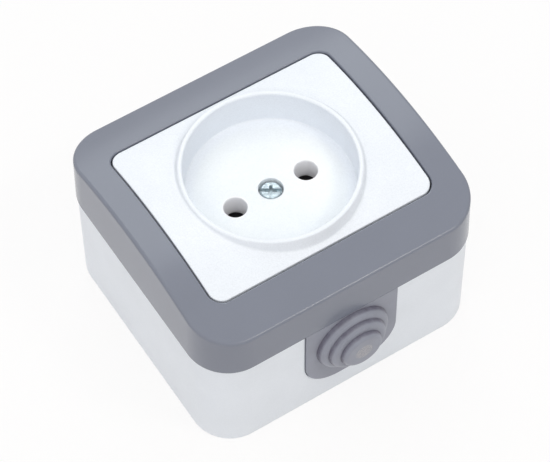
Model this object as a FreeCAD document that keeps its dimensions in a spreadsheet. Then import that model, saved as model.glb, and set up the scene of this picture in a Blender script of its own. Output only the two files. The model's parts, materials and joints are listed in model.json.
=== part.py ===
"""Surface-mounted unearthed socket outlet: back box, bezel frame, face, gland and mechanism.

Millimetres. The origin is the middle of the wall face, +Z points out of the wall, +X runs
along the line of the pin holes and the cable gland is in the -Y wall.
"""
import FreeCAD
import Part
import Sketcher
import math
import os
import re

Vector = FreeCAD.Vector
doc = FreeCAD.newDocument("SocketOutlet")

# Driving dimensions: name, millimetres (degrees for angles), meaning
SIZES = (
    ("box_wide", 72.6, "back box along X"),
    ("box_tall", 66.8, "back box along Y"),
    ("box_corner", 9.7, "plan radius of the box corners"),
    ("box_wall", 2.4, "side walls of the box"),
    ("box_back", 2.4, "wall side of the box"),
    ("box_shoulder", 30.1, "height of the shoulder that the bezel rests on"),
    ("box_edge", 0.5, "rounding of the lower outer edge"),
    ("lip_step", 0.95, "the lip stands in from the outer wall"),
    ("lip_rise", 3.2, "the lip stands above the shoulder"),
    ("fit_gap", 0.3, "lip to skirt"),
    ("post_height", 8.0, "posts that carry the mechanism, from the wall"),
    ("post_radius", 3.4, "posts"),
    ("post_x", 22.0, "posts from the middle, along X"),
    ("post_y", 10.5, "posts from the middle, along Y"),
    ("fixing_spacing", 44.0, "wall screw slots, centre to centre"),
    ("fixing_slot", 4.4, "width of a wall screw slot"),
    ("fixing_long", 8.4, "length of a wall screw slot"),
    ("fixing_land", 1.8, "raised land round a wall screw slot, its width"),
    ("fixing_rise", 1.2, "raised land, its height above the back"),
    ("knockout_radius", 10.0, "thinned disc in the upper wall"),
    ("knockout_skin", 1.0, "wall left in the thinned disc"),
    ("knockout_height", 17.0, "centre of the thinned disc"),
    ("gasket_thick", 1.2, "sealing ring between lip and bezel"),
    ("bezel_wide", 73.5, "bezel along X at the bottom of its skirt"),
    ("bezel_tall", 67.8, "bezel along Y at the bottom of its skirt"),
    ("bezel_corner", 10.6, "plan radius of the bezel corners"),
    ("bezel_wall", 2.4, "skirt"),
    ("bezel_draft", 1.1, "lean of the skirt, degrees"),
    ("crown_top", 46.4, "highest line of the arched top"),
    ("crown_arch", 110.0, "radius of the arched top, axis along X"),
    ("crown_wall", 2.2, "arched top of the bezel"),
    ("crease_round", 0.75, "rounding between skirt and arched top"),
    ("window_wall", 1.6, "wall round the window"),
    ("window_edge", 0.35, "rounding of the window's upper edge"),
    ("bezel_rib", 1.2, "ribs under the bezel"),
    ("ledge_reach", 1.4, "ledge under the face, inward"),
    ("ledge_thick", 1.6, "ledge under the face, thickness"),
    ("face_wide", 57.9, "white face along X"),
    ("face_tall", 46.8, "white face along Y"),
    ("face_corner", 3.2, "plan radius of the face corners"),
    ("face_gap", 0.4, "gap between face and window"),
    ("face_drop", 0.2, "the face lies this far below the bezel's arch"),
    ("face_seat", 41.0, "height of the ledge that carries the face"),
    ("face_wall", 1.6, "wall down from the edge of the face"),
    ("face_skin", 2.0, "arched skin of the face"),
    ("face_edge", 0.25, "rounding of the face's upper edge"),
    ("face_rib", 1.0, "ribs under the face"),
    ("recess_radius", 19.87, "mouth of the plug recess"),
    ("recess_floor", 37.65, "floor of the plug recess"),
    ("recess_draft", 0.6, "lean of the recess wall, degrees"),
    ("recess_round", 0.5, "rounding between wall and floor of the recess"),
    ("recess_wall", 1.5, "wall of the recess"),
    ("floor_thick", 2.0, "floor of the recess"),
    ("rim_top", 46.9, "crest of the rim round the recess"),
    ("rim_width", 1.15, "flat width of the rim's crest before rounding"),
    ("rim_round", 0.45, "rounding of the rim's crest"),
    ("rim_lean", 20.0, "lean of the rim's outer flank from upright, degrees"),
    ("rim_foot_round", 0.5, "hollow rounding between flank and arched face"),
    ("pin_spacing", 19.0, "pin holes, centre to centre"),
    ("pin_hole", 5.45, "diameter of a pin hole"),
    ("pin_hole_edge", 0.25, "rounding of a pin hole's mouth"),
    ("sleeve_reach", 6.0, "pin sleeve, below the floor's upper side"),
    ("sleeve_wall", 1.5, "wall of a pin sleeve"),
    ("screw_sink", 0.65, "top of the face screw below the recess floor"),
    ("screw_well", 5.9, "diameter of the well round its head"),
    ("screw_boss_wall", 1.5, "wall round the well"),
    ("screw_boss_reach", 1.65, "boss below the seat of the head"),
    ("head_wide", 5.0, "head of the face screw"),
    ("head_thick", 1.9, "head of the face screw"),
    ("head_edge", 0.3, "bevel of a screw head's upper edge"),
    ("thread_radius", 1.5, "thread of the face screw"),
    ("face_screw_long", 12.0, "face screw below its head"),
    ("head_slot_wide", 0.95, "slot in the head"),
    ("head_slot_deep", 0.85, "slot in the head"),
    ("head_slot_turn", -33.0, "direction of the slot, degrees from +X"),
    ("cross_reach", 1.35, "arms of the cross recess"),
    ("cross_wide", 0.8, "arms of the cross recess"),
    ("retainer_thick", 0.8, "washer that keeps the face screw in the face"),
    ("retainer_radius", 3.0, "the same washer"),
    ("pillar_radius", 4.3, "pillar for the face screw"),
    ("pillar_gap", 0.3, "pillar to the washer above it"),
    ("insert_radius", 2.1, "brass insert in the pillar"),
    ("insert_long", 6.0, "brass insert in the pillar"),
    ("insert_waist", 0.25, "depth of the groove round the insert"),
    ("tip_room", 1.0, "room below the tip of the face screw"),
    ("carrier_wide", 54.0, "mechanism carrier along X"),
    ("carrier_tall", 28.0, "mechanism carrier along Y"),
    ("carrier_corner", 3.0, "plan radius of the carrier's corners"),
    ("carrier_plate", 3.0, "thickness of its base plate"),
    ("deck_rise", 8.0, "deck for the contacts above the underside"),
    ("deck_tall", 14.0, "deck along Y"),
    ("chamber_wide", 8.0, "contact chamber along X, inside"),
    ("chamber_tall", 10.4, "contact chamber along Y, inside"),
    ("chamber_wall", 1.4, "walls of the contact chambers"),
    ("guard_rise", 4.5, "end wall beyond each terminal, above the deck"),
    ("barrier_rise", 10.0, "wall between the poles, above the deck"),
    ("barrier_thick", 1.6, "wall between the poles"),
    ("cover_thick", 1.4, "cap over the contact chambers"),
    ("cover_gap", 0.7, "cap to the pin sleeves"),
    ("cover_spigot", 0.8, "depth of the cap's spigots"),
    ("cover_hole", 6.2, "pin holes of the cap"),
    ("slide_gap", 0.2, "cap to pillar and spigot to chamber"),
    ("strip_thick", 0.8, "brass strip of the contacts"),
    ("strip_wide", 7.0, "brass strip along Y"),
    ("leaf_wide", 6.0, "contact leaves along X"),
    ("leaf_grip", 4.4, "gap between the leaves where they grip"),
    ("leaf_foot", 5.2, "gap between the leaves at the strip"),
    ("leaf_mouth", 6.2, "gap between the leaves at their mouth"),
    ("leaf_drop", 1.5, "leaves end this far below the chamber's top"),
    ("flare_rise", 3.4, "the grip lies this far below the mouth"),
    ("terminal_x", 20.5, "terminal screws from the middle"),
    ("terminal_end", 4.2, "strip beyond the terminal screw"),
    ("terminal_radius", 1.75, "threaded hole of the terminal"),
    ("terminal_play", 0.05, "screw in the threaded hole"),
    ("collar_wall", 0.85, "wall of the drawn collar under the strip"),
    ("collar_long", 1.8, "drawn collar under the strip"),
    ("well_gap", 0.3, "collar to the well in the carrier"),
    ("well_deep", 5.2, "well in the carrier under a terminal"),
    ("spring_thick", 0.5, "steel spring round the leaves"),
    ("spring_rise", 2.3, "height of the spring"),
    ("spring_slack", 0.17, "spring to leaves"),
    ("spring_mouth", 3.0, "gap in the spring"),
    ("plate_side", 8.0, "pressure plate of a terminal"),
    ("plate_thick", 1.0, "pressure plate of a terminal"),
    ("plate_hole_gap", 0.2, "screw in the pressure plate"),
    ("terminal_head", 6.4, "head of a terminal screw"),
    ("terminal_head_thick", 2.2, "head of a terminal screw"),
    ("terminal_screw_long", 6.0, "terminal screw below its head"),
    ("carrier_screw_radius", 1.45, "screws that hold the carrier"),
    ("carrier_screw_long", 8.0, "the same screws below their heads"),
    ("carrier_head", 5.4, "heads of the same screws"),
    ("carrier_head_thick", 1.9, "heads of the same screws"),
    ("pilot_gap", 0.05, "screw in its pilot hole"),
    ("clearance_gap", 0.2, "screw in a clearance hole"),
    ("gland_wide", 24.5, "plate of the cable gland"),
    ("gland_bottom", 7.05, "lower edge of that plate above the wall"),
    ("gland_corner", 9.0, "its lower corners"),
    ("gland_proud", 0.43, "the plate stands out from the box wall"),
    ("gland_gap", 0.2, "gland to the cut-out in the wall"),
    ("gland_rebate", 0.9, "step in the wall under the plate"),
    ("gland_tongue", 1.35, "wall held in the gland's groove"),
    ("gland_flange", 1.2, "flange behind the wall, thickness"),
    ("gland_flange_reach", 2.2, "that flange beyond the groove's floor"),
    ("gland_height", 20.3, "centre of the steps above the wall"),
    ("gland_skin", 1.1, "rubber of the steps"),
    ("step_radius", 9.28, "foot of the first step"),
    ("step_inset_one", 1.84, "foot of the second step, in from the first"),
    ("step_inset_two", 2.18, "foot of the third step, in from the second"),
    ("step_one_out", 2.0, "rise of the first step"),
    ("step_two_out", 1.65, "rise of the second step"),
    ("step_three_out", 1.5, "rise of the third step"),
    ("step_flare", 0.12, "a step widens by this above its foot, which leaves a crease"),
    ("step_round_share", 0.78, "rounding of a step's rim, as a share of its rise"),
)
ALIASES = re.compile(r"\b(" + "|".join(entry[0] for entry in SIZES) + r")\b")

# Heights and places worked out from the driving dimensions
LIP_TOP = "(box_shoulder + lip_rise)"
BEZEL_STEP = f"({LIP_TOP} + gasket_thick)"
CROWN_AXIS = "(crown_top - crown_arch)"
POLE_X = "(pin_spacing / 2)"
DECK = "(post_height + deck_rise)"
SLEEVE_END = "(recess_floor - sleeve_reach)"
COVER_BOTTOM = f"({SLEEVE_END} - cover_gap - cover_thick)"
STRIP_TOP = f"({DECK} + strip_thick)"
LEAF_TOP = f"({COVER_BOTTOM} - leaf_drop)"
GRIP_HEIGHT = f"({LEAF_TOP} - flare_rise)"
HEAD_SEAT = "(recess_floor - screw_sink - head_thick)"
BOSS_END = f"({HEAD_SEAT} - screw_boss_reach)"
PILLAR_TOP = f"({BOSS_END} - retainer_thick - pillar_gap)"
PLATE_TOP = f"({STRIP_TOP} + plate_thick)"
WALL_FACE = "(box_tall / 2)"

# Cutting solids run this far past what they cut
BEYOND = 10.0
# A slot's round ends stay this far short of half its width, so that its sides stay real lines
HAIR = 0.01
# Lengths that differ by less count as equal
CLOSE = 1e-3


def write_sizes():
    """Puts the driving dimensions into the sheet."""
    sheet = doc.addObject("Spreadsheet::Sheet", "Sizes")
    for row, (alias, number, meaning) in enumerate(SIZES, start=1):
        sheet.set(f"A{row}", meaning)
        sheet.set(f"B{row}", str(number))
        sheet.setAlias(f"B{row}", alias)
    doc.recompute()


def size(text):
    """Returns the present value of an expression over the sheet."""
    return float(doc.Sizes.evalExpression(text))


def bind(thing, prop, text):
    """Ties a property to the sheet."""
    thing.setExpression(prop, ALIASES.sub(r"Sizes.\1", text))


# Sketch helpers

def sketch_in(body, plane, height="0", shift_u="0", shift_v="0"):
    """Starts a sketch on one of the body's origin planes, at a height along its normal."""
    sketch = body.newObject("Sketcher::SketchObject", "Sketch")
    support = next(item for item in body.Origin.OriginFeatures if item.Role == plane)
    sketch.AttachmentSupport = (support, [""])
    sketch.MapMode = "FlatFace"
    bind(sketch, "AttachmentOffset.Base.x", shift_u)
    bind(sketch, "AttachmentOffset.Base.y", shift_v)
    bind(sketch, "AttachmentOffset.Base.z", height)
    return sketch


def dimension(sketch, kind, where, text):
    """Adds a dimension that follows the sheet."""
    number = sketch.addConstraint(Sketcher.Constraint(kind, *where, size(text)))
    bind(sketch, f"Constraints[{number}]", text)


def outline(sketch, points):
    """Closed polygon whose corners are pairs of expressions."""
    first = sketch.GeometryCount
    corners = [Vector(size(u), size(v), 0) for u, v in points]
    count = len(corners)
    for number, corner in enumerate(corners):
        sketch.addGeometry(Part.LineSegment(corner, corners[(number + 1) % count]), False)
    for number, (u, v) in enumerate(points):
        after = first + (number + 1) % count
        sketch.addConstraint(Sketcher.Constraint("Coincident", first + number, 2, after, 1))
        dimension(sketch, "DistanceX", (-1, 1, first + number, 1), u)
        dimension(sketch, "DistanceY", (-1, 1, first + number, 1), v)


def circle(sketch, radius, u="0", v="0"):
    """Circle by radius and centre."""
    centre = Vector(size(u), size(v), 0)
    number = sketch.addGeometry(Part.Circle(centre, Vector(0, 0, 1), size(radius)), False)
    dimension(sketch, "Radius", (number,), radius)
    dimension(sketch, "DistanceX", (-1, 1, number, 3), u)
    dimension(sketch, "DistanceY", (-1, 1, number, 3), v)


def rounded_rectangle(sketch, wide, tall, corner, u="0", v="0"):
    """Rectangle with round corners, centred on u, v."""
    half_u, half_v, radius = size(wide) / 2, size(tall) / 2, size(corner)
    middle = Vector(size(u), size(v), 0)
    first = sketch.GeometryCount
    arcs = []
    for turn, (side_u, side_v) in enumerate(((1, 1), (-1, 1), (-1, -1), (1, -1))):
        centre = middle + Vector(side_u * (half_u - radius), side_v * (half_v - radius), 0)
        start = turn * math.pi / 2
        ring = Part.Circle(centre, Vector(0, 0, 1), radius)
        arcs.append(Part.ArcOfCircle(ring, start, start + math.pi / 2))
    for number, arc in enumerate(arcs):
        sketch.addGeometry(arc, False)
        after = arcs[(number + 1) % 4]
        sketch.addGeometry(Part.LineSegment(arc.EndPoint, after.StartPoint), False)
    top, left, bottom, right = (first + step for step in (1, 3, 5, 7))
    for arc, line in ((0, 1), (2, 3), (4, 5), (6, 7)):
        sketch.addConstraint(Sketcher.Constraint("Tangent", first + arc, 2, first + line, 1))
        sketch.addConstraint(Sketcher.Constraint("Tangent", first + line, 2, first + (arc + 2) % 8, 1))
    for arc in (2, 4, 6):
        sketch.addConstraint(Sketcher.Constraint("Equal", first, first + arc))
    sketch.addConstraint(Sketcher.Constraint("Horizontal", top))
    sketch.addConstraint(Sketcher.Constraint("Vertical", left))
    dimension(sketch, "Radius", (first,), corner)
    dimension(sketch, "DistanceX", (-1, 1, left, 1), f"{u} - ({wide}) / 2")
    dimension(sketch, "DistanceX", (left, 1, right, 1), wide)
    dimension(sketch, "DistanceY", (-1, 1, bottom, 1), f"{v} - ({tall}) / 2")
    dimension(sketch, "DistanceY", (bottom, 1, top, 1), tall)


# Feature helpers

def new_body(label):
    """Starts a sub-part that is made of sketched features."""
    body = doc.addObject("PartDesign::Body", label)
    body.Label = label
    return body


def pad(body, sketch, length, backwards=False):
    """Adds the sketch's area over a length."""
    feature = body.newObject("PartDesign::Pad", "Pad")
    feature.Profile = sketch
    bind(feature, "Length", length)
    feature.Reversed = backwards
    doc.recompute()
    return feature


def pocket(body, sketch, length, backwards=False):
    """Cuts the sketch's area over a length and makes sure that something went."""
    before = body.Shape.Volume
    feature = body.newObject("PartDesign::Pocket", "Pocket")
    feature.Profile = sketch
    bind(feature, "Length", length)
    feature.Reversed = backwards
    doc.recompute()
    if body.Shape.Volume >= before:
        raise ValueError(f"{body.Label}: {feature.Name} cuts nothing")
    return feature


def revolve(body, sketch, axis="V_Axis", kind="PartDesign::Revolution"):
    """Turns the sketch's area about one of the sketch's axes."""
    feature = body.newObject(kind, "Turned")
    feature.Profile = sketch
    feature.ReferenceAxis = (sketch, [axis])
    feature.Angle = 360
    doc.recompute()
    return feature


def edge_names(shape, test):
    """Names of the edges that pass a test."""
    return [f"Edge{number}" for number, edge in enumerate(shape.Edges, start=1) if test(edge)]


def soften(body, radius, test, kind="PartDesign::Fillet"):
    """Rounds or chamfers the edges of the body that pass a test."""
    base = body.Tip
    feature = body.newObject(kind, "Softened")
    feature.Base = (base, edge_names(base.Shape, test))
    bind(feature, "Size" if kind.endswith("Chamfer") else "Radius", radius)
    doc.recompute()
    return feature


def middle_of(edge):
    """Point half-way along an edge."""
    return edge.valueAt((edge.FirstParameter + edge.LastParameter) / 2)


def at_height(text):
    """Test for edges that lie level at a height."""
    height = size(text)
    return lambda edge: max(abs(edge.BoundBox.ZMin - height), abs(edge.BoundBox.ZMax - height)) < CLOSE


def is_ring(edge, radius):
    """True for a circular edge of a radius."""
    return isinstance(edge.Curve, Part.Circle) and abs(edge.Curve.Radius - radius) < CLOSE


# Solid helpers

def prism(name, wide, tall, corner, bottom, top, lean=None):
    """Upright block with round corners between two heights, centred on the Z axis."""
    sketch = doc.addObject("Sketcher::SketchObject", f"{name}_plan")
    rounded_rectangle(sketch, wide, tall, corner)
    bind(sketch, "Placement.Base.z", bottom)
    solid = doc.addObject("Part::Extrusion", name)
    solid.Base = sketch
    solid.DirMode = "Normal"
    solid.Solid = True
    bind(solid, "LengthFwd", f"({top}) - ({bottom})")
    if lean:
        bind(solid, "TaperAngle", lean)
    return solid


def post(name, radius, bottom, top, x="0", y="0"):
    """Upright cylinder."""
    solid = doc.addObject("Part::Cylinder", name)
    bind(solid, "Radius", radius)
    bind(solid, "Height", f"({top}) - ({bottom})")
    bind(solid, "Placement.Base.x", x)
    bind(solid, "Placement.Base.y", y)
    bind(solid, "Placement.Base.z", bottom)
    return solid


def block(name, wide, tall, bottom, top, x="0", y="0"):
    """Upright box centred on x, y."""
    solid = doc.addObject("Part::Box", name)
    bind(solid, "Length", wide)
    bind(solid, "Width", tall)
    bind(solid, "Height", f"({top}) - ({bottom})")
    bind(solid, "Placement.Base.x", f"{x} - ({wide}) / 2")
    bind(solid, "Placement.Base.y", f"{y} - ({tall}) / 2")
    bind(solid, "Placement.Base.z", bottom)
    return solid


def arch(name, drop):
    """Long cylinder along X whose top line is the arched top, lowered by a drop."""
    solid = doc.addObject("Part::Cylinder", name)
    bind(solid, "Radius", f"crown_arch - ({drop})")
    bind(solid, "Height", "2 * bezel_wide")
    solid.Placement.Rotation = FreeCAD.Rotation(Vector(0, 1, 0), 90)
    bind(solid, "Placement.Base.x", "-bezel_wide")
    bind(solid, "Placement.Base.z", CROWN_AXIS)
    return solid


def join(name, kind, *solids):
    """Boolean of solids: Fuse, Cut or Common."""
    if kind == "Cut":
        result = doc.addObject("Part::Cut", name)
        result.Base, result.Tool = solids
    else:
        result = doc.addObject(f"Part::Multi{kind}", name)
        result.Shapes = list(solids)
    doc.recompute()
    return result


def turned(name, points):
    """Solid of revolution about Z from a closed profile of radius and height."""
    sketch = doc.addObject("Sketcher::SketchObject", f"{name}_profile")
    outline(sketch, points)
    sketch.Placement.Rotation = FreeCAD.Rotation(Vector(1, 0, 0), 90)
    solid = doc.addObject("Part::Revolution", name)
    solid.Source = sketch
    solid.Axis = (0, 0, 1)
    solid.Angle = 360
    solid.Solid = True
    doc.recompute()
    return solid


def rounded(name, base, radius, test):
    """Rounds the edges of a solid that pass a test."""
    value = size(radius)
    names = edge_names(base.Shape, test)
    result = doc.addObject("Part::Fillet", name)
    result.Base = base
    result.Edges = [(int(edge[4:]), value, value) for edge in names]
    doc.recompute()
    return result


# Sub-parts

def gland_outline(sketch, inset, top, deeper="0"):
    """Plate with round lower corners, seen from the front: the gland's and its cut-out's."""
    half = f"(gland_wide / 2 - ({inset}))"
    bottom = f"(gland_bottom + ({inset}) + ({deeper}))"
    radius = f"(gland_corner - ({inset}))"
    right, low, high, bend = size(half), size(bottom), size(top), size(radius)
    first = sketch.GeometryCount
    left_centre = Vector(bend - right, low + bend, 0)
    right_centre = Vector(right - bend, low + bend, 0)
    up = Vector(0, 0, 1)
    pieces = (
        Part.LineSegment(Vector(right, high, 0), Vector(-right, high, 0)),
        Part.LineSegment(Vector(-right, high, 0), Vector(-right, low + bend, 0)),
        Part.ArcOfCircle(Part.Circle(left_centre, up, bend), math.pi, 1.5 * math.pi),
        Part.LineSegment(Vector(bend - right, low, 0), Vector(right - bend, low, 0)),
        Part.ArcOfCircle(Part.Circle(right_centre, up, bend), 1.5 * math.pi, 2 * math.pi),
        Part.LineSegment(Vector(right, low + bend, 0), Vector(right, high, 0)),
    )
    for piece in pieces:
        sketch.addGeometry(piece, False)
    joints = (("Coincident", 0, 1), ("Tangent", 1, 2), ("Tangent", 2, 3))
    joints += (("Tangent", 3, 4), ("Tangent", 4, 5), ("Coincident", 5, 0))
    for kind, one, other in joints:
        sketch.addConstraint(Sketcher.Constraint(kind, first + one, 2, first + other, 1))
    sketch.addConstraint(Sketcher.Constraint("Horizontal", first))
    sketch.addConstraint(Sketcher.Constraint("Equal", first + 2, first + 4))
    dimension(sketch, "Radius", (first + 2,), radius)
    dimension(sketch, "DistanceX", (-1, 1, first, 1), half)
    dimension(sketch, "DistanceX", (first, 2, first, 1), f"2 * {half}")
    dimension(sketch, "DistanceY", (-1, 1, first, 1), top)
    dimension(sketch, "DistanceY", (-1, 1, first + 3, 1), bottom)
    sketch.addConstraint(Sketcher.Constraint("Vertical", first + 1))
    sketch.addConstraint(Sketcher.Constraint("Vertical", first + 5))


def make_back_box():
    """Moulded box: shoulder and lip, gland cut-out, posts, wall slots and a thinned disc."""
    body = new_body("back_box")
    plan = sketch_in(body, "XY_Plane")
    rounded_rectangle(plan, "box_wide", "box_tall", "box_corner")
    pad(body, plan, "box_shoulder")
    soften(body, "box_edge", at_height("0"))
    lip = sketch_in(body, "XY_Plane", "box_shoulder")
    rounded_rectangle(lip, "box_wide - 2 * lip_step", "box_tall - 2 * lip_step", "box_corner - lip_step")
    pad(body, lip, "lip_rise")
    hollow = sketch_in(body, "XY_Plane", LIP_TOP)
    rounded_rectangle(hollow, "box_wide - 2 * box_wall", "box_tall - 2 * box_wall", "box_corner - box_wall")
    pocket(body, hollow, f"{LIP_TOP} - box_back")
    above = f"({LIP_TOP} + {BEYOND})"
    rebate = sketch_in(body, "XZ_Plane", WALL_FACE)
    gland_outline(rebate, "-gland_gap", above)
    pocket(body, rebate, "gland_rebate")
    passage = sketch_in(body, "XZ_Plane", WALL_FACE)
    gland_outline(passage, "gland_tongue - gland_gap", above)
    pocket(body, passage, "1.5 * box_wall")
    posts = sketch_in(body, "XY_Plane", "box_back")
    for x in ("post_x", "-post_x"):
        for y in ("post_y", "-post_y"):
            circle(posts, "post_radius", x, y)
    pad(body, posts, "post_height - box_back")
    pilots = sketch_in(body, "XY_Plane", "post_height")
    for x in ("post_x", "-post_x"):
        circle(pilots, "carrier_screw_radius + pilot_gap", x, "post_y")
    pocket(body, pilots, "post_height - box_back / 2")
    lands = sketch_in(body, "XY_Plane", "box_back")
    slots = sketch_in(body, "XY_Plane", "box_back + fixing_rise")
    for y in ("fixing_spacing / 2", "-fixing_spacing / 2"):
        wide, tall = "fixing_slot + 2 * fixing_land", "fixing_long + 2 * fixing_land"
        rounded_rectangle(lands, wide, tall, f"({wide}) / 2 - {HAIR}", "0", y)
        rounded_rectangle(slots, "fixing_slot", "fixing_long", f"fixing_slot / 2 - {HAIR}", "0", y)
    pad(body, lands, "fixing_rise")
    pocket(body, slots, "box_back + fixing_rise")
    thinned = sketch_in(body, "XZ_Plane", f"box_wall - {WALL_FACE}")
    circle(thinned, "knockout_radius", "0", "knockout_height")
    pocket(body, thinned, "box_wall - knockout_skin")
    return body


def make_sealing_gasket():
    """Flat ring on the lip."""
    body = new_body("sealing_gasket")
    plan = sketch_in(body, "XY_Plane", LIP_TOP)
    for inset in ("lip_step", "box_wall"):
        wide, tall = f"box_wide - 2 * {inset}", f"box_tall - 2 * {inset}"
        rounded_rectangle(plan, wide, tall, f"box_corner - {inset}")
    pad(body, plan, "gasket_thick")
    return body


def make_bezel_frame():
    """Arched frame with a skirt over the lip, a window, a ledge for the face and ribs."""
    high = f"(crown_top + {BEYOND})"
    plan = ("bezel_wide", "bezel_tall", "bezel_corner")
    shell = prism("bezel_block", *plan, "box_shoulder", high, "-bezel_draft")
    shell = join("bezel_arched", "Common", shell, arch("bezel_arch", "0"))
    axis_height, radius = size(CROWN_AXIS), size("crown_arch")

    def on_arch(edge):
        point = middle_of(edge)
        return abs(math.hypot(point.y, point.z - axis_height) - radius) < CLOSE

    shell = rounded("bezel_softened", shell, "crease_round", on_arch)
    inside = ("bezel_wide - 2 * bezel_wall", "bezel_tall - 2 * bezel_wall", "bezel_corner - bezel_wall")
    hollow = prism("bezel_hollow_block", *inside, BEZEL_STEP, high)
    hollow = join("bezel_hollow", "Common", hollow, arch("bezel_hollow_arch", "crown_wall"))
    rib_bottom = f"({BEZEL_STEP} + crown_wall)"
    ribs = [prism("window_surround", "face_wide + 2 * (face_gap + window_wall)",
                  "face_tall + 2 * (face_gap + window_wall)", "face_corner + face_gap + window_wall",
                  "face_seat - ledge_thick", high)]
    for side in ("-", ""):
        along = f"{side}face_tall / 4"
        across = f"{side}face_wide / 4"
        ribs.append(block(f"bezel_rib_x{len(ribs)}", "bezel_wide", "bezel_rib", rib_bottom, high, "0", along))
        ribs.append(block(f"bezel_rib_y{len(ribs)}", "bezel_rib", "bezel_tall", rib_bottom, high, across))
    hollow = join("bezel_hollow_ribbed", "Cut", hollow, join("bezel_ribs", "Fuse", *ribs))
    lip_inset = "(lip_step - fit_gap)"
    rebate = prism("bezel_rebate", f"box_wide - 2 * {lip_inset}", f"box_tall - 2 * {lip_inset}",
                   f"box_corner - {lip_inset}", f"box_shoulder - {BEYOND}", BEZEL_STEP)
    window = prism("bezel_window", "face_wide + 2 * face_gap", "face_tall + 2 * face_gap",
                   "face_corner + face_gap", "face_seat", high)
    opening = prism("bezel_opening", "face_wide - 2 * ledge_reach", "face_tall - 2 * ledge_reach",
                    "face_corner - ledge_reach", "box_shoulder", high)
    inner = join("bezel_inner", "Fuse", hollow, rebate, window, opening)
    frame = join("bezel_cut", "Cut", shell, inner)

    def on_window(edge):
        point = middle_of(edge)
        inside_window = abs(point.x) < size("face_wide / 2 + face_gap") + CLOSE
        return on_arch(edge) and inside_window and abs(point.y) < size("face_tall / 2 + face_gap") + CLOSE

    frame = rounded("bezel_frame", frame, "window_edge", on_window)
    frame.Label = "bezel_frame"
    return frame


def make_socket_face():
    """White face: arched plate, rim and recess, pin sleeves and the well for the screw."""
    high = f"(crown_top + {BEYOND})"
    plate = prism("face_block", "face_wide", "face_tall", "face_corner", "face_seat", high)
    plate = join("face_arched", "Common", plate, arch("face_arch", "face_drop"))
    axis_height, radius = size(CROWN_AXIS), size("crown_arch - face_drop")

    def on_arch(edge):
        point = middle_of(edge)
        return abs(math.hypot(point.y, point.z - axis_height) - radius) < CLOSE

    plate = rounded("face_softened", plate, "face_edge", on_arch)
    cup_radius = "(recess_radius + recess_wall)"
    cup_bottom = "(recess_floor - floor_thick)"
    crest_radius = "(recess_radius + rim_width)"
    foot_height = "(face_seat + face_wall)"
    foot_radius = f"({crest_radius} + (rim_top - {foot_height}) * tan(rim_lean * 1 deg))"
    rim = turned("face_rim", (
        ("0", cup_bottom), (cup_radius, cup_bottom), (cup_radius, foot_height),
        (foot_radius, foot_height), (crest_radius, "rim_top"), ("0", "rim_top")))
    outer = join("face_outer", "Fuse", plate, rim)

    def on_foot(edge):
        point = middle_of(edge)
        reach = math.hypot(point.x, point.y)
        return on_arch(edge) and size(crest_radius) < reach < size(foot_radius)

    outer = rounded("face_outer_softened", outer, "rim_foot_round", on_foot)
    under = prism("face_under_block", "face_wide - 2 * face_wall", "face_tall - 2 * face_wall",
                  "face_corner - face_wall", f"face_seat - {BEYOND}", high)
    under = join("face_under", "Common", under, arch("face_under_arch", "face_drop + face_skin"))
    kept = [post("face_cup", cup_radius, cup_bottom, high)]
    for side in ("-", ""):
        kept.append(block(f"face_rib{len(kept)}", "face_wide", "face_rib", "face_seat", high,
                          "0", f"{side}recess_radius / 2"))
    under = join("face_under_ribbed", "Cut", under, join("face_kept", "Fuse", *kept))
    floor_radius = "(recess_radius - (rim_top - recess_floor) * tan(recess_draft * 1 deg))"
    mouth_radius = f"(recess_radius + {BEYOND} * tan(recess_draft * 1 deg))"
    mouth_height = f"(rim_top + {BEYOND})"
    recess = turned("face_recess_sharp", (
        ("0", "recess_floor"), (floor_radius, "recess_floor"),
        (mouth_radius, mouth_height), ("0", mouth_height)))
    recess = rounded("face_recess", recess, "recess_round", at_height("recess_floor"))
    body = join("face_shell", "Cut", outer, join("face_hollows", "Fuse", under, recess))
    boss_radius = "(screw_well / 2 + screw_boss_wall)"
    sleeve_radius = "(pin_hole / 2 + sleeve_wall)"
    bosses = [post("face_boss", boss_radius, BOSS_END, "recess_floor - floor_thick / 2")]
    holes = [
        post("face_well", "screw_well / 2", HEAD_SEAT, "rim_top"),
        post("face_screw_hole", "thread_radius + clearance_gap", "box_back", "rim_top"),
    ]
    for side in ("-", ""):
        x = side + POLE_X
        bosses.append(post(f"face_sleeve{len(bosses)}", sleeve_radius, SLEEVE_END,
                           "recess_floor - floor_thick / 2", x))
        holes.append(post(f"face_hole{len(holes)}", "pin_hole / 2", "box_back", "rim_top", x))
    body = join("face_bossed", "Fuse", body, *bosses)
    body = join("face_drilled", "Cut", body, join("face_holes", "Fuse", *holes))
    hole_radius, crest = size("pin_hole / 2"), at_height("rim_top")
    on_floor = at_height("recess_floor")
    body = rounded("face_hole_mouths", body, "pin_hole_edge",
                   lambda edge: on_floor(edge) and is_ring(edge, hole_radius))
    body = rounded("socket_face", body, "rim_round", crest)
    body.Label = "socket_face"
    return body


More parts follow.
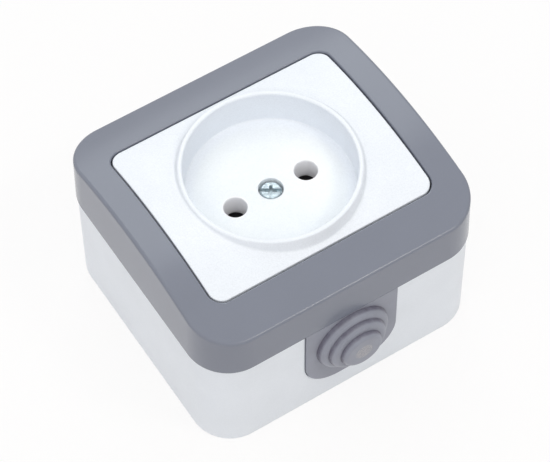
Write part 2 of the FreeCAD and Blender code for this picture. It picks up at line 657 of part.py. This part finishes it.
def make_cable_gland():
    """Rubber gland: plate, groove for the wall, flange and a hollow stepped cone."""
    body = new_body("cable_gland")
    face = f"({WALL_FACE} + gland_proud)"
    plate = sketch_in(body, "XZ_Plane", face)
    gland_outline(plate, "0", "box_shoulder - gland_gap")
    pad(body, plate, "gland_proud + gland_rebate", backwards=True)
    neck = sketch_in(body, "XZ_Plane", f"{WALL_FACE} - gland_rebate")
    gland_outline(neck, "gland_tongue", LIP_TOP)
    pad(body, neck, "box_wall - gland_rebate", backwards=True)
    flange = sketch_in(body, "XZ_Plane", f"{WALL_FACE} - box_wall")
    gland_outline(flange, "gland_tongue - gland_flange_reach", f"{LIP_TOP} - lip_step")
    pad(body, flange, "gland_flange", backwards=True)
    steps = (
        ("step_radius", "0", "step_one_out"),
        ("(step_radius - step_inset_one)", "step_one_out", "step_two_out"),
        ("(step_radius - step_inset_one - step_inset_two)", "(step_one_out + step_two_out)",
         "step_three_out"),
    )
    rise = sketch_in(body, "YZ_Plane", "0", "0", "gland_height")
    outline(rise, step_profile(steps, face, f"-{WALL_FACE}", "0", "step_flare"))
    revolve(body, rise, "H_Axis")
    hollow = sketch_in(body, "YZ_Plane", "0", "0", "gland_height")
    inside = f"-{WALL_FACE} + box_wall + gland_flange"
    outline(hollow, step_profile(steps, face, inside, "gland_skin", "0"))
    revolve(body, hollow, "H_Axis", "PartDesign::Groove")
    for foot, start, out in steps:
        rim, rim_y = size(f"{foot} + step_flare"), size(f"-{face} - {start} - {out}")

        def on_rim(edge):
            return is_ring(edge, rim) and abs(middle_of(edge).y - rim_y) < CLOSE

        soften(body, f"step_round_share * {out}", on_rim)
    return body


def step_profile(steps, face, back, skin, flare):
    """Half section of the stepped cone, distance along Y and radius, drawn in by a skin."""
    points = []
    for foot, start, out in steps:
        points.append((f"-{face} - {start} + {skin}", f"{foot} - {skin}"))
        points.append((f"-{face} - {start} - {out} + {skin}", f"{foot} + {flare} - {skin}"))
    points[0] = (back, points[0][1])
    return points + [(points[-1][0], "0"), (back, "0")]


def make_contact_carrier():
    """Insulator: plate, deck, two chambers, pillar, barrier, end walls, wells and holes."""
    body = new_body("contact_carrier")
    plan = sketch_in(body, "XY_Plane", "post_height")
    rounded_rectangle(plan, "carrier_wide", "carrier_tall", "carrier_corner")
    pad(body, plan, "carrier_plate")
    deck = sketch_in(body, "XY_Plane", "post_height")
    rounded_rectangle(deck, "carrier_wide", "deck_tall", "chamber_wall / 2")
    pad(body, deck, "deck_rise")
    towers = sketch_in(body, "XY_Plane", DECK)
    for side in ("-", ""):
        rounded_rectangle(towers, "chamber_wide + 2 * chamber_wall", "chamber_tall + 2 * chamber_wall",
                          "chamber_wall", side + POLE_X)
    pad(body, towers, f"{COVER_BOTTOM} - {DECK}")
    pillar = sketch_in(body, "XY_Plane", "post_height")
    circle(pillar, "pillar_radius")
    pad(body, pillar, f"{PILLAR_TOP} - post_height")
    guards = sketch_in(body, "XY_Plane", DECK)
    for side in ("-", ""):
        rounded_rectangle(guards, "chamber_wall", "deck_tall", f"chamber_wall / 2 - {HAIR}",
                          f"{side}(carrier_wide / 2 - chamber_wall / 2)")
    pad(body, guards, "guard_rise")
    barrier = sketch_in(body, "XY_Plane", "post_height")
    reach = "(carrier_tall / 2 - pillar_radius / 2)"
    middle = f"({reach} / 2 - carrier_tall / 2)"
    rounded_rectangle(barrier, "barrier_thick", reach, "barrier_thick / 4", "0", middle)
    pad(body, barrier, "deck_rise + barrier_rise")
    chambers = sketch_in(body, "XY_Plane", COVER_BOTTOM)
    for side in ("-", ""):
        rounded_rectangle(chambers, "chamber_wide", "chamber_tall", "chamber_wall / 2", side + POLE_X)
    pocket(body, chambers, f"{COVER_BOTTOM} - {DECK}")
    half, door_top = "(strip_wide / 2 + slide_gap)", f"({DECK} + 2 * strip_thick)"
    inner = f"({POLE_X} + chamber_wide / 2)"
    guard_inner = "(carrier_wide / 2 - chamber_wall)"
    for start in (f"-{guard_inner}", inner):
        door = sketch_in(body, "YZ_Plane", start)
        outline(door, ((f"-{half}", DECK), (half, DECK), (half, door_top), (f"-{half}", door_top)))
        pocket(body, door, f"{guard_inner} - {inner}", backwards=True)
    wells = sketch_in(body, "XY_Plane", DECK)
    for side in ("-", ""):
        circle(wells, "terminal_radius + collar_wall + well_gap", f"{side}terminal_x")
    pocket(body, wells, "well_deep")
    drilled = sketch_in(body, "XY_Plane", "post_height + carrier_plate")
    for side in ("-", ""):
        circle(drilled, "carrier_screw_radius + clearance_gap", f"{side}post_x", "post_y")
    pocket(body, drilled, "carrier_plate")
    cores = sketch_in(body, "XY_Plane", "post_height")
    for side in ("-", ""):
        rounded_rectangle(cores, "chamber_wide", "chamber_tall", "chamber_wall", side + POLE_X)
    pocket(body, cores, "deck_rise - chamber_wall", backwards=True)
    bore = sketch_in(body, "XY_Plane", PILLAR_TOP)
    circle(bore, "insert_radius")
    pocket(body, bore, "insert_long")
    clear = sketch_in(body, "XY_Plane", PILLAR_TOP)
    circle(clear, "thread_radius + clearance_gap")
    pocket(body, clear, f"{PILLAR_TOP} - {HEAD_SEAT} + face_screw_long + tip_room")
    return body


def make_contact_cover():
    """Cap over the chambers with a hole for each pin and one for the pillar."""
    body = new_body("contact_cover")
    plan = sketch_in(body, "XY_Plane", COVER_BOTTOM)
    rounded_rectangle(plan, "pin_spacing + chamber_wide + 2 * chamber_wall",
                      "chamber_tall + 2 * chamber_wall", "chamber_wall")
    pad(body, plan, "cover_thick")
    spigots = sketch_in(body, "XY_Plane", COVER_BOTTOM)
    for side in ("-", ""):
        rounded_rectangle(spigots, "chamber_wide - 2 * slide_gap", "chamber_tall - 2 * slide_gap",
                          "chamber_wall / 2", side + POLE_X)
    pad(body, spigots, "cover_spigot", backwards=True)
    holes = sketch_in(body, "XY_Plane", f"{COVER_BOTTOM} + cover_thick")
    circle(holes, "pillar_radius + slide_gap")
    for side in ("-", ""):
        circle(holes, "cover_hole / 2", side + POLE_X)
    pocket(body, holes, "cover_thick + cover_spigot")
    return body


def on_side(body, side):
    """Puts a piece modelled on the right on its own side, by a half turn about Z."""
    body.Placement.Rotation = FreeCAD.Rotation(Vector(0, 0, 1), 0 if side == "right" else 180)
    return body


def make_contact_clip(side):
    """Brass strip with two sprung leaves and a drawn, threaded collar."""
    body = new_body(f"contact_clip_{side}")
    start, end = f"({POLE_X} - leaf_wide / 2)", "(terminal_x + terminal_end)"
    strip = sketch_in(body, "XY_Plane", DECK)
    rounded_rectangle(strip, f"{end} - {start}", "strip_wide", "strip_thick", f"({start} + {end}) / 2")
    pad(body, strip, "strip_thick")
    leaves = sketch_in(body, "YZ_Plane", start)
    for sign in ("", "-"):
        def across(gap, extra="0"):
            return f"{sign}({gap} / 2 + {extra})"
        outline(leaves, (
            (across("leaf_foot"), DECK), (across("leaf_foot", "strip_thick"), DECK),
            (across("leaf_grip", "strip_thick"), GRIP_HEIGHT),
            (across("leaf_mouth", "strip_thick"), LEAF_TOP),
            (across("leaf_mouth"), LEAF_TOP), (across("leaf_grip"), GRIP_HEIGHT)))
    pad(body, leaves, "leaf_wide")
    grip = size(GRIP_HEIGHT)

    def at_grip(edge):
        level = abs(middle_of(edge).z - grip) < CLOSE
        return level and edge.BoundBox.XLength > 1

    soften(body, "2 * strip_thick", at_grip)
    collar = sketch_in(body, "XY_Plane", DECK)
    circle(collar, "terminal_radius + collar_wall", "terminal_x")
    pad(body, collar, "collar_long", backwards=True)
    tapped = sketch_in(body, "XY_Plane", STRIP_TOP)
    circle(tapped, "terminal_radius", "terminal_x")
    pocket(body, tapped, "strip_thick + collar_long")
    return on_side(body, side)


def make_contact_spring(side):
    """Steel band round the two leaves, open towards the middle."""
    body = new_body(f"contact_spring_{side}")
    low = f"({GRIP_HEIGHT} - spring_rise * 3 / 4)"
    inner_u = "(leaf_wide + 4 * spring_slack)"
    inner_v = "(leaf_grip + 2 * strip_thick + 2 * spring_slack)"
    band = sketch_in(body, "XY_Plane", low)
    rounded_rectangle(band, f"{inner_u} + 2 * spring_thick", f"{inner_v} + 2 * spring_thick",
                      "2 * spring_thick", POLE_X)
    rounded_rectangle(band, inner_u, inner_v, "spring_thick", POLE_X)
    pad(body, band, "spring_rise")
    gap = sketch_in(body, "XY_Plane", f"{low} + spring_rise")
    edge_u = f"({POLE_X} - {inner_u} / 2 - spring_thick / 2)"
    rounded_rectangle(gap, "3 * spring_thick", "spring_mouth", "spring_thick / 2", edge_u)
    pocket(body, gap, "spring_rise")
    return on_side(body, side)


def make_clamp_plate(side):
    """Square pressure plate under a terminal screw, grooved across underneath."""
    body = new_body(f"clamp_plate_{side}")
    plan = sketch_in(body, "XY_Plane", STRIP_TOP)
    rounded_rectangle(plan, "plate_side", "plate_side", "plate_thick", "terminal_x")
    circle(plan, "terminal_radius + plate_hole_gap", "terminal_x")
    pad(body, plan, "plate_thick")
    grooves = sketch_in(body, "XY_Plane", STRIP_TOP)
    for shift in ("-", ""):
        rounded_rectangle(grooves, "plate_thick / 2", f"plate_side + {BEYOND}", "plate_thick / 5",
                          f"terminal_x + {shift}plate_side * 3 / 8")
    pocket(body, grooves, "plate_thick / 4", backwards=True)
    return on_side(body, side)


def screw(label, x, y, seat, head_radius, head_thick, shank, length):
    """Screw with a chamfered head on its seat and its shank below."""
    body = new_body(label)
    bind(body, "Placement.Base.x", x)
    bind(body, "Placement.Base.y", y)
    profile = sketch_in(body, "XZ_Plane")
    tip = f"({seat} - {length})"
    outline(profile, (
        ("0", tip), (f"{shank} / 2", tip), (shank, f"{tip} + {shank} / 2"), (shank, seat),
        (head_radius, seat), (head_radius, f"{seat} + {head_thick}"), ("0", f"{seat} + {head_thick}")))
    revolve(body, profile)
    soften(body, "head_edge", at_height(f"{seat} + {head_thick}"), "PartDesign::Chamfer")
    return body


def cut_slot(body, top, long, wide, deep, turn):
    """Straight slot across the top of a head."""
    slot = sketch_in(body, "XY_Plane", top)
    bind(slot, "AttachmentOffset.Rotation.Angle", turn)
    end, side = f"({long} / 2)", f"({wide} / 2)"
    outline(slot, ((f"-{end}", f"-{side}"), (end, f"-{side}"), (end, side), (f"-{end}", side)))
    pocket(body, slot, deep)


def make_face_screw():
    """Plated screw in the middle of the recess: a slot with a cross recess over it."""
    body = screw("face_screw", "0", "0", HEAD_SEAT, "head_wide / 2", "head_thick",
                 "thread_radius", "face_screw_long")
    top = f"({HEAD_SEAT} + head_thick)"
    cut_slot(body, top, f"head_wide + {BEYOND}", "head_slot_wide", "head_slot_deep", "head_slot_turn")
    deep = "head_slot_deep + cross_wide / 2"
    for turn in ("head_slot_turn", "head_slot_turn + 90"):
        cut_slot(body, top, "2 * cross_reach", "cross_wide", deep, turn)
    return body


def make_terminal_screw(side):
    """Captive screw of a wire terminal."""
    sign = "" if side == "right" else "-"
    body = screw(f"terminal_screw_{side}", f"{sign}terminal_x", "0", PLATE_TOP, "terminal_head / 2",
                 "terminal_head_thick", "(terminal_radius - terminal_play)", "terminal_screw_long")
    top = f"({PLATE_TOP} + terminal_head_thick)"
    cut_slot(body, top, f"terminal_head + {BEYOND}", "head_slot_wide", "head_slot_deep", "90")
    return body


def make_carrier_screw(side):
    """Screw that holds the carrier on its post."""
    sign = "" if side == "right" else "-"
    seat = "(post_height + carrier_plate)"
    body = screw(f"carrier_screw_{side}", f"{sign}post_x", "post_y", seat, "carrier_head / 2",
                 "carrier_head_thick", "carrier_screw_radius", "carrier_screw_long")
    top = f"({seat} + carrier_head_thick)"
    for turn in ("45", "135"):
        cut_slot(body, top, "2 * cross_reach", "cross_wide", "head_slot_deep", turn)
    return body


def make_threaded_insert():
    """Brass insert with a groove round its middle."""
    body = new_body("threaded_insert")
    low = f"({PILLAR_TOP} - insert_long)"
    waist = "(insert_radius - insert_waist)"
    profile = sketch_in(body, "XZ_Plane")
    outline(profile, (
        ("thread_radius + terminal_play", low), ("insert_radius", low),
        ("insert_radius", f"{low} + insert_long / 3"),
        (waist, f"{low} + insert_long / 3 + insert_waist"),
        (waist, f"{low} + insert_long * 2 / 3 - insert_waist"),
        ("insert_radius", f"{low} + insert_long * 2 / 3"),
        ("insert_radius", PILLAR_TOP), ("thread_radius + terminal_play", PILLAR_TOP)))
    revolve(body, profile)
    return body


def make_screw_retainer():
    """Washer on the face screw, under the boss of the face."""
    body = new_body("screw_retainer")
    plan = sketch_in(body, "XY_Plane", f"{BOSS_END} - retainer_thick")
    circle(plan, "retainer_radius")
    circle(plan, "thread_radius + terminal_play")
    pad(body, plan, "retainer_thick")
    return body


def check_document(parts):
    """Stops on anything that failed to build."""
    failed = [item.Label for item in doc.Objects if set(item.State) & {"Invalid", "Error"}]
    failed += [part.Label for part in parts if part.Shape.isNull() or not part.Shape.isValid()]
    if failed:
        raise RuntimeError(f"not built: {failed}")


def main():
    write_sizes()
    parts = [
        make_back_box(),
        make_sealing_gasket(),
        make_bezel_frame(),
        make_socket_face(),
        make_cable_gland(),
        make_contact_carrier(),
        make_contact_cover(),
        make_face_screw(),
        make_threaded_insert(),
        make_screw_retainer(),
    ]
    for side in ("left", "right"):
        parts.append(make_contact_clip(side))
        parts.append(make_contact_spring(side))
        parts.append(make_clamp_plate(side))
        parts.append(make_terminal_screw(side))
        parts.append(make_carrier_screw(side))
    doc.recompute()
    check_document(parts)
    os.makedirs("parts", exist_ok=True)
    for part in parts:
        part.Shape.exportStep(f"parts/{part.Label}.step")
        box = part.Shape.BoundBox
        low, high = (box.XMin, box.YMin, box.ZMin), (box.XMax, box.YMax, box.ZMax)
        span = " ".join(f"{one:.2f}..{other:.2f}" for one, other in zip(low, high))
        print(f"{part.Label}: {len(part.Shape.Solids)} solid, {part.Shape.Volume:.1f} mm3, {span}")


main()
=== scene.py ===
"""Looks of the surface-mounted socket outlet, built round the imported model. Metres throughout."""
import json
import math

import bpy
from mathutils import Matrix, Vector

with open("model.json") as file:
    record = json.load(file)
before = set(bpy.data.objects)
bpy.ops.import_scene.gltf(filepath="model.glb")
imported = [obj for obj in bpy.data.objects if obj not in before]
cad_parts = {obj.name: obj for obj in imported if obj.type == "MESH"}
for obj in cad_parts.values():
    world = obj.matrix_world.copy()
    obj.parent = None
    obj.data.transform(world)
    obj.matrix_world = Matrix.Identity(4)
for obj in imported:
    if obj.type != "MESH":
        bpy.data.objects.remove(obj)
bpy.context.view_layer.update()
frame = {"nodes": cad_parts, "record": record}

MM = 0.001

# Places that the looks follow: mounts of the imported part, and distances from an axis
MOUNTS = {mount["name"]: mount["pos_m"] for mount in frame["record"]["mounts"]}
PIN_X = MOUNTS["pin_hole_right"][0]
SLEEVE_EDGE = (2.9 * MM, 3.1 * MM)
RECESS_EDGE = (17 * MM, 18 * MM)
RIM_FOOT = 21.8 * MM
SINK_EDGE = (RIM_FOOT - 0.4 * MM, RIM_FOOT + 2.6 * MM)
GLAND_HEIGHT = MOUNTS["cable_entry"][2]
GLAND_CREASES = (9.35 * MM, 7.5 * MM, 5.32 * MM)
CREASE_EDGE = (0.06 * MM, 0.28 * MM)
TIP_SPOT_EDGE = (2.0 * MM, 2.4 * MM)

# Colours of single places: painted light on the pin sleeves' walls, painted shade in the gland's creases,
# the spot on the gland's tip; and of the speckles in the plastic
SLEEVE_PAINTED_LIGHT = (0.96, 0.965, 1.0)
CREASE_PAINTED_SHADE = (0.14672, 0.14076, 0.18696)
TIP_SPOT = (0.47, 0.46, 0.47)
BLACK = (0.0, 0.0, 0.0)


# Node helpers

def put(tree, socket, value):
    """Feeds a socket from another one, or gives it a value."""
    if isinstance(value, bpy.types.NodeSocket):
        tree.links.new(value, socket)
    else:
        socket.default_value = value


def calculate(tree, operation, *values, kind="ShaderNodeMath", result="Value"):
    """Adds a maths node, fills its inputs in order and returns one of its results."""
    node = tree.nodes.new(kind)
    node.operation = operation
    for socket, value in zip(node.inputs, values):
        put(tree, socket, value)
    return node.outputs[result]


def calculate_vector(tree, operation, *values, result="Vector"):
    """The same with vectors."""
    return calculate(tree, operation, *values, kind="ShaderNodeVectorMath", result=result)


def mix_colours(tree, factor, one, other):
    """Blends two colours, each a triple or a socket, by a factor."""
    node = tree.nodes.new("ShaderNodeMix")
    node.data_type = "RGBA"
    put(tree, node.inputs["Factor"], factor)
    ends = [socket for socket in node.inputs if socket.type == "RGBA"]
    for socket, colour in zip(ends, (one, other)):
        put(tree, socket, (*colour, 1.0) if isinstance(colour, tuple) else colour)
    return next(socket for socket in node.outputs if socket.type == "RGBA")


def scaled(colour, share):
    """A colour with each channel times a share."""
    return tuple(min(1.0, value * share) for value in colour)


class Looks:
    """A material under construction: its tree, its shader and the object coordinates."""

    def __init__(self, name):
        self.material = bpy.data.materials.new(name)
        self.material.use_nodes = True
        self.tree = self.material.node_tree
        self.shader = self.tree.nodes["Principled BSDF"]
        self.place = self.tree.nodes.new("ShaderNodeTexCoord").outputs["Object"]

    def fill(self, node, sockets):
        """Feeds a node's sockets, named with underscores for spaces, from others or with values."""
        for name, value in sockets.items():
            put(self.tree, node.inputs[name.replace("_", " ")], value)

    def add(self, kind, **sockets):
        """Makes a node and fills its sockets."""
        node = self.tree.nodes.new(kind)
        self.fill(node, sockets)
        return node

    def feed(self, **sockets):
        """Fills the shader's own sockets."""
        self.fill(self.shader, sockets)

    def noise(self, size, detail=4.0, rough=0.5, stretch=None):
        """Noise whose features are about a size in metres, mostly from 0.35 to 0.65."""
        place = self.place
        if stretch:
            place = self.add("ShaderNodeMapping", Vector=place, Scale=stretch).outputs["Vector"]
        return self.add("ShaderNodeTexNoise", Vector=place, Scale=1 / size, Detail=detail,
                        Roughness=rough).outputs["Fac"]

    def cells(self, size):
        """Distance to the nearest point of a scatter with a spacing in metres."""
        return self.add("ShaderNodeTexVoronoi", Vector=self.place, Scale=1 / size).outputs["Distance"]

    def from_axis(self, across=(1.0, 1.0, 0.0), point=(0.0, 0.0, 0.0)):
        """Distance in metres from an axis through a point, square to the two directions across."""
        moved = calculate_vector(self.tree, "SUBTRACT", self.place, point)
        flat = calculate_vector(self.tree, "MULTIPLY", moved, across)
        return calculate_vector(self.tree, "LENGTH", flat, result="Value")

    def spread(self, value, low, high, start=0.35, end=0.65):
        """Maps a value from one span, by default that of noise, to another."""
        return self.add("ShaderNodeMapRange", Value=value, From_Min=start, From_Max=end, To_Min=low,
                        To_Max=high).outputs["Result"]

    def within(self, distance, inner, outer):
        """1 nearer than an inner distance, falling to 0 at an outer one."""
        return self.spread(distance, 1.0, 0.0, inner, outer)

    def maths(self, operation, *values):
        """Result of one step of arithmetic."""
        return calculate(self.tree, operation, *values)

    def tint(self, factor, one, other):
        """Colour between two, by a factor."""
        return mix_colours(self.tree, factor, one, other)

    def relief(self, height, depth, strength=1.0, over=None):
        """Bump of a depth in metres, on top of an earlier one."""
        under = {} if over is None else {"Normal": over}
        return self.add("ShaderNodeBump", Height=height, Distance=depth, Strength=strength,
                        **under).outputs["Normal"]


# Materials

def moulded_plastic(name, colour, grain, depth, rough, uneven=0.04, speckle=0.0, polished=0.0, marks=None):
    """Moulded plastic: a spark-eroded grain of a size and depth, flow shading and uneven gloss.

    A share of dark speckles follows the grain. Within a polished radius round the upright axis the
    grain and its speckles are fainter. The marks of one piece go under the flow shading.
    """
    look = Looks(name)
    flow = look.noise(size=14 * MM, detail=2.0)
    fine = look.noise(size=grain * 0.7, detail=6.0, rough=0.6)
    shade = look.tint(look.spread(flow, 0.0, 1.0), scaled(colour, 0.97), colour)
    pits, scratches = 0.6, 0.7
    if polished:
        away = look.from_axis()
        edge = (polished, polished + 0.3 * MM)
        pits = look.spread(away, 0.25, pits, *edge)
        scratches = look.spread(away, 0.3, scratches, *edge)
    if speckle:
        dots = look.spread(fine, speckle, 0.0)
        if polished:
            dots = look.maths("MULTIPLY", dots, look.spread(away, 0.75, 1.0, *edge))
        shade = look.tint(dots, shade, BLACK)
    surface = look.relief(look.cells(grain), depth, pits)
    surface = look.relief(fine, depth, scratches, over=surface)
    if marks:
        shade, surface = marks(look, shade, surface)
    gloss = look.noise(size=grain * 3, detail=3.0)
    look.feed(Base_Color=shade, Roughness=look.spread(gloss, rough - uneven, rough + uneven), IOR=1.5,
              Normal=look.relief(flow, depth=0.02 * MM, strength=0.5, over=surface))
    return look.material


def face_marks(look, shade, surface):
    """The face sinks in beside its thick rim and lets some light through in its recess and sleeves; the
    sleeves' walls also have painted light, a lighter colour.
    """
    away = look.from_axis()
    sink = look.maths("POWER", look.within(away, *SINK_EDGE), 2.0)
    surface = look.relief(sink, depth=0.22 * MM, over=surface)
    # Painted light: the walls of the pin sleeves are given a lighter colour
    for side in (-1, 1):
        beside = look.from_axis(point=(side * PIN_X, 0.0, 0.0))
        shade = look.tint(look.within(beside, *SLEEVE_EDGE), shade, SLEEVE_PAINTED_LIGHT)
    glow = look.spread(away, 0.85, 0.0, *RECESS_EDGE)
    look.feed(Subsurface_Weight=glow, Subsurface_Radius=(1.0, 1.0, 1.0), Subsurface_Scale=1.0 * MM)
    return shade, surface


def metal(name, colour, rough, streak, film=1.0):
    """Metal with fine drawn streaks, uneven gloss and, below 1, patches of a film that scatters."""
    look = Looks(name)
    patches = look.noise(size=0.7 * MM, detail=5.0, rough=0.6)
    lines = look.noise(size=0.25 * MM, detail=3.0, rough=0.6, stretch=streak)
    look.feed(Base_Color=look.tint(look.spread(patches, 0.0, 1.0), scaled(colour, 0.6), colour),
              Roughness=look.spread(lines, rough - 0.08, rough + 0.12),
              Metallic=look.spread(patches, film, 1.0) if film < 1.0 else 1.0,
              Normal=look.relief(lines, depth=0.01 * MM, strength=0.5))
    return look.material


def rubber(name, colour, rough, marks=None):
    """Matt rubber: dusty patches, fine pores, a soft sheen and the marks of one piece."""
    look = Looks(name)
    bloom = look.noise(size=5 * MM, detail=5.0, rough=0.6)
    shade = look.tint(look.spread(bloom, 0.0, 1.0), colour, scaled(colour, 1.12))
    pores = {"depth": 0.012 * MM, "strength": 0.6}
    surface = look.relief(look.cells(0.35 * MM), **pores)
    surface = look.relief(look.noise(size=0.25 * MM, detail=5.0), over=surface, **pores)
    if marks:
        shade, surface = marks(look, shade, surface)
    look.feed(Base_Color=shade, Roughness=look.spread(bloom, rough, rough + 0.1), Normal=surface,
              Sheen_Weight=0.15, Sheen_Roughness=0.4)
    return look.material


def gland_marks(look, shade, surface):
    """Painted shade in the creases between the gland's steps, and a plain stippled spot on its tip."""
    away = look.from_axis(across=(1.0, 0.0, 1.0), point=(0.0, 0.0, GLAND_HEIGHT))
    patchy_shade = look.spread(look.noise(size=1.5 * MM, detail=3.0), 0.6, 1.0)
    # Painted shade: the gland's colour is darkened in patchy rings at the roots of its steps
    for radius in GLAND_CREASES:
        off = look.maths("ABSOLUTE", look.maths("SUBTRACT", away, radius))
        crease = look.maths("MULTIPLY", look.within(off, *CREASE_EDGE), patchy_shade)
        shade = look.tint(crease, shade, CREASE_PAINTED_SHADE)
    dots = look.spread(look.noise(size=0.3 * MM, detail=2.0), 0.05, 1.0, start=0.43, end=0.58)
    stipple = look.maths("MULTIPLY", look.within(away, *TIP_SPOT_EDGE), dots)
    surface = look.relief(stipple, depth=0.07 * MM, strength=0.9, over=surface)
    return look.tint(stipple, shade, TIP_SPOT), surface


FINISHES = {
    "box_plastic": (moulded_plastic, dict(
        colour=(0.848, 0.894, 0.942), grain=0.5 * MM, depth=0.004 * MM, rough=0.36, speckle=0.03)),
    "frame_plastic": (moulded_plastic, dict(
        colour=(0.209, 0.227, 0.277), grain=0.3 * MM, depth=0.0006 * MM, rough=0.20, uneven=0.012,
        speckle=0.03)),
    "face_plastic": (moulded_plastic, dict(
        colour=(0.904, 0.946, 0.994), grain=0.5 * MM, depth=0.042 * MM, rough=0.34, speckle=0.075,
        polished=RIM_FOOT, marks=face_marks)),
    "insulator": (moulded_plastic, dict(
        colour=(0.045, 0.045, 0.05), grain=0.5 * MM, depth=0.012 * MM, rough=0.4)),
    "washer_plastic": (moulded_plastic, dict(
        colour=(0.72, 0.70, 0.64), grain=0.4 * MM, depth=0.008 * MM, rough=0.35)),
    "gland_rubber": (rubber, dict(colour=(0.262, 0.276, 0.328), rough=0.42, marks=gland_marks)),
    "seal_rubber": (rubber, dict(colour=(0.05, 0.052, 0.058), rough=0.6)),
    "contact_brass": (metal, dict(colour=(0.78, 0.58, 0.27), rough=0.28, streak=(1.0, 12.0, 1.0))),
    "spring_steel": (metal, dict(colour=(0.45, 0.44, 0.43), rough=0.3, streak=(12.0, 1.0, 1.0))),
    "plated_steel": (metal, dict(
        colour=(0.60, 0.70, 0.75), rough=0.40, streak=(1.0, 1.0, 8.0), film=0.2)),
}


def dress_nodes():
    """Gives every node of the part the finish that its record names."""
    made = {slot: maker(slot, **settings) for slot, (maker, settings) in FINISHES.items()}
    for part in frame["record"]["subparts"]:
        finish = made[part["material_slot"]]
        thing = frame["nodes"][part["node"]]
        for holder in thing.material_slots:
            holder.material = finish
        if not thing.material_slots:
            thing.data.materials.append(finish)


# Floor, light and camera

def seen_by_camera(tree):
    """Factor that is 1 for rays that show the background: camera, glossy and transmission rays."""
    path = tree.nodes.new("ShaderNodeLightPath")
    shown = path.outputs["Is Camera Ray"]
    for kind in ("Is Glossy Ray", "Is Transmission Ray"):
        shown = calculate(tree, "MAXIMUM", shown, path.outputs[kind])
    return shown


def make_floor(half, level, paper, white_share):
    """Pale square floor that keeps the object's shadow: paper that shows partly as plain white."""
    mesh = bpy.data.meshes.new("floor")
    corners = ((-half, -half, level), (half, -half, level), (half, half, level), (-half, half, level))
    mesh.from_pydata(corners, [], [(0, 1, 2, 3)])
    floor = bpy.data.objects.new("floor", mesh)
    bpy.context.scene.collection.objects.link(floor)
    made = bpy.data.materials.new("floor")
    made.use_nodes = True
    tree = made.node_tree
    tree.nodes.clear()
    matt = tree.nodes.new("ShaderNodeBsdfDiffuse")
    matt.inputs["Color"].default_value = (*paper, 1.0)
    white = tree.nodes.new("ShaderNodeEmission")
    white.inputs["Color"].default_value = (1.0, 1.0, 1.0, 1.0)
    white.inputs["Strength"].default_value = 1.0
    mixed = tree.nodes.new("ShaderNodeMixShader")
    tree.links.new(calculate(tree, "MULTIPLY", seen_by_camera(tree), white_share), mixed.inputs["Fac"])
    tree.links.new(matt.outputs[0], mixed.inputs[1])
    tree.links.new(white.outputs[0], mixed.inputs[2])
    result = tree.nodes.new("ShaderNodeOutputMaterial")
    tree.links.new(mixed.outputs[0], result.inputs["Surface"])
    mesh.materials.append(made)


def make_world(horizon, zenith, crest, focus):
    """White backdrop for the camera and reflections, and for the rest a sky brightest at its crest."""
    world = bpy.data.worlds.new("studio")
    bpy.context.scene.world = world
    world.use_nodes = True
    tree = world.node_tree
    direction = tree.nodes.new("ShaderNodeTexCoord").outputs["Generated"]
    along = calculate_vector(tree, "DOT_PRODUCT", direction, Vector(crest).normalized(), result="Value")
    rise = calculate(tree, "POWER", calculate(tree, "MAXIMUM", along, 0.0), focus)
    sky = mix_colours(tree, rise, horizon, zenith)
    seen = mix_colours(tree, seen_by_camera(tree), sky, (1.0, 1.0, 1.0))
    tree.links.new(seen, tree.nodes["Background"].inputs["Color"])


def aimed(place, aim):
    """Place and turn of a lamp or camera that looks from one point to another."""
    place, aim = Vector(place), Vector(aim)
    return Matrix.Translation(place) @ (aim - place).to_track_quat("-Z", "Y").to_matrix().to_4x4()


def softbox(name, place, aim, wide, tall, power, colour):
    """Rectangular studio lamp."""
    lamp = bpy.data.lights.new(name, "AREA")
    lamp.shape = "RECTANGLE"
    lamp.size, lamp.size_y = wide, tall
    lamp.energy = power
    lamp.color = colour
    holder = bpy.data.objects.new(name, lamp)
    holder.matrix_world = aimed(place, aim)
    bpy.context.scene.collection.objects.link(holder)


def make_camera(place, aim, lens, roll):
    """Camera at the photograph's viewing angle: places in metres, lens in mm, roll in degrees."""
    data = bpy.data.cameras.new("camera")
    data.sensor_width = 36.0
    data.lens = lens
    data.clip_start, data.clip_end = 0.01, 10.0
    holder = bpy.data.objects.new("camera", data)
    holder.matrix_world = aimed(place, aim) @ Matrix.Rotation(math.radians(roll), 4, "Z")
    bpy.context.scene.collection.objects.link(holder)
    bpy.context.scene.camera = holder


dress_nodes()
make_floor(half=1.5, level=-0.1 * MM, paper=(0.91, 0.885, 0.87), white_share=0.85)
make_world(horizon=(0.252, 0.268, 0.296), zenith=(1.785, 1.745, 1.73), crest=(-0.28, -0.20, 0.94),
           focus=3.0)
MIDDLE = (0.0, 0.0, 25 * MM)
softbox("back_light", place=(0.28, 0.55, 0.69), aim=MIDDLE, wide=0.42, tall=0.66, power=1.50,
        colour=(0.92, 0.98, 1.0))
softbox("front_light", place=(0.267, -0.433, 0.768), aim=MIDDLE, wide=0.17, tall=0.13, power=1.0,
        colour=(1.0, 0.95, 0.86))
make_camera(place=Vector((-174.696, -280.685, 510.656)) * MM, aim=Vector((0.832, -0.237, 20.0)) * MM,
            lens=166.08, roll=-0.652)
bpy.context.scene.view_settings.view_transform = "Standard"
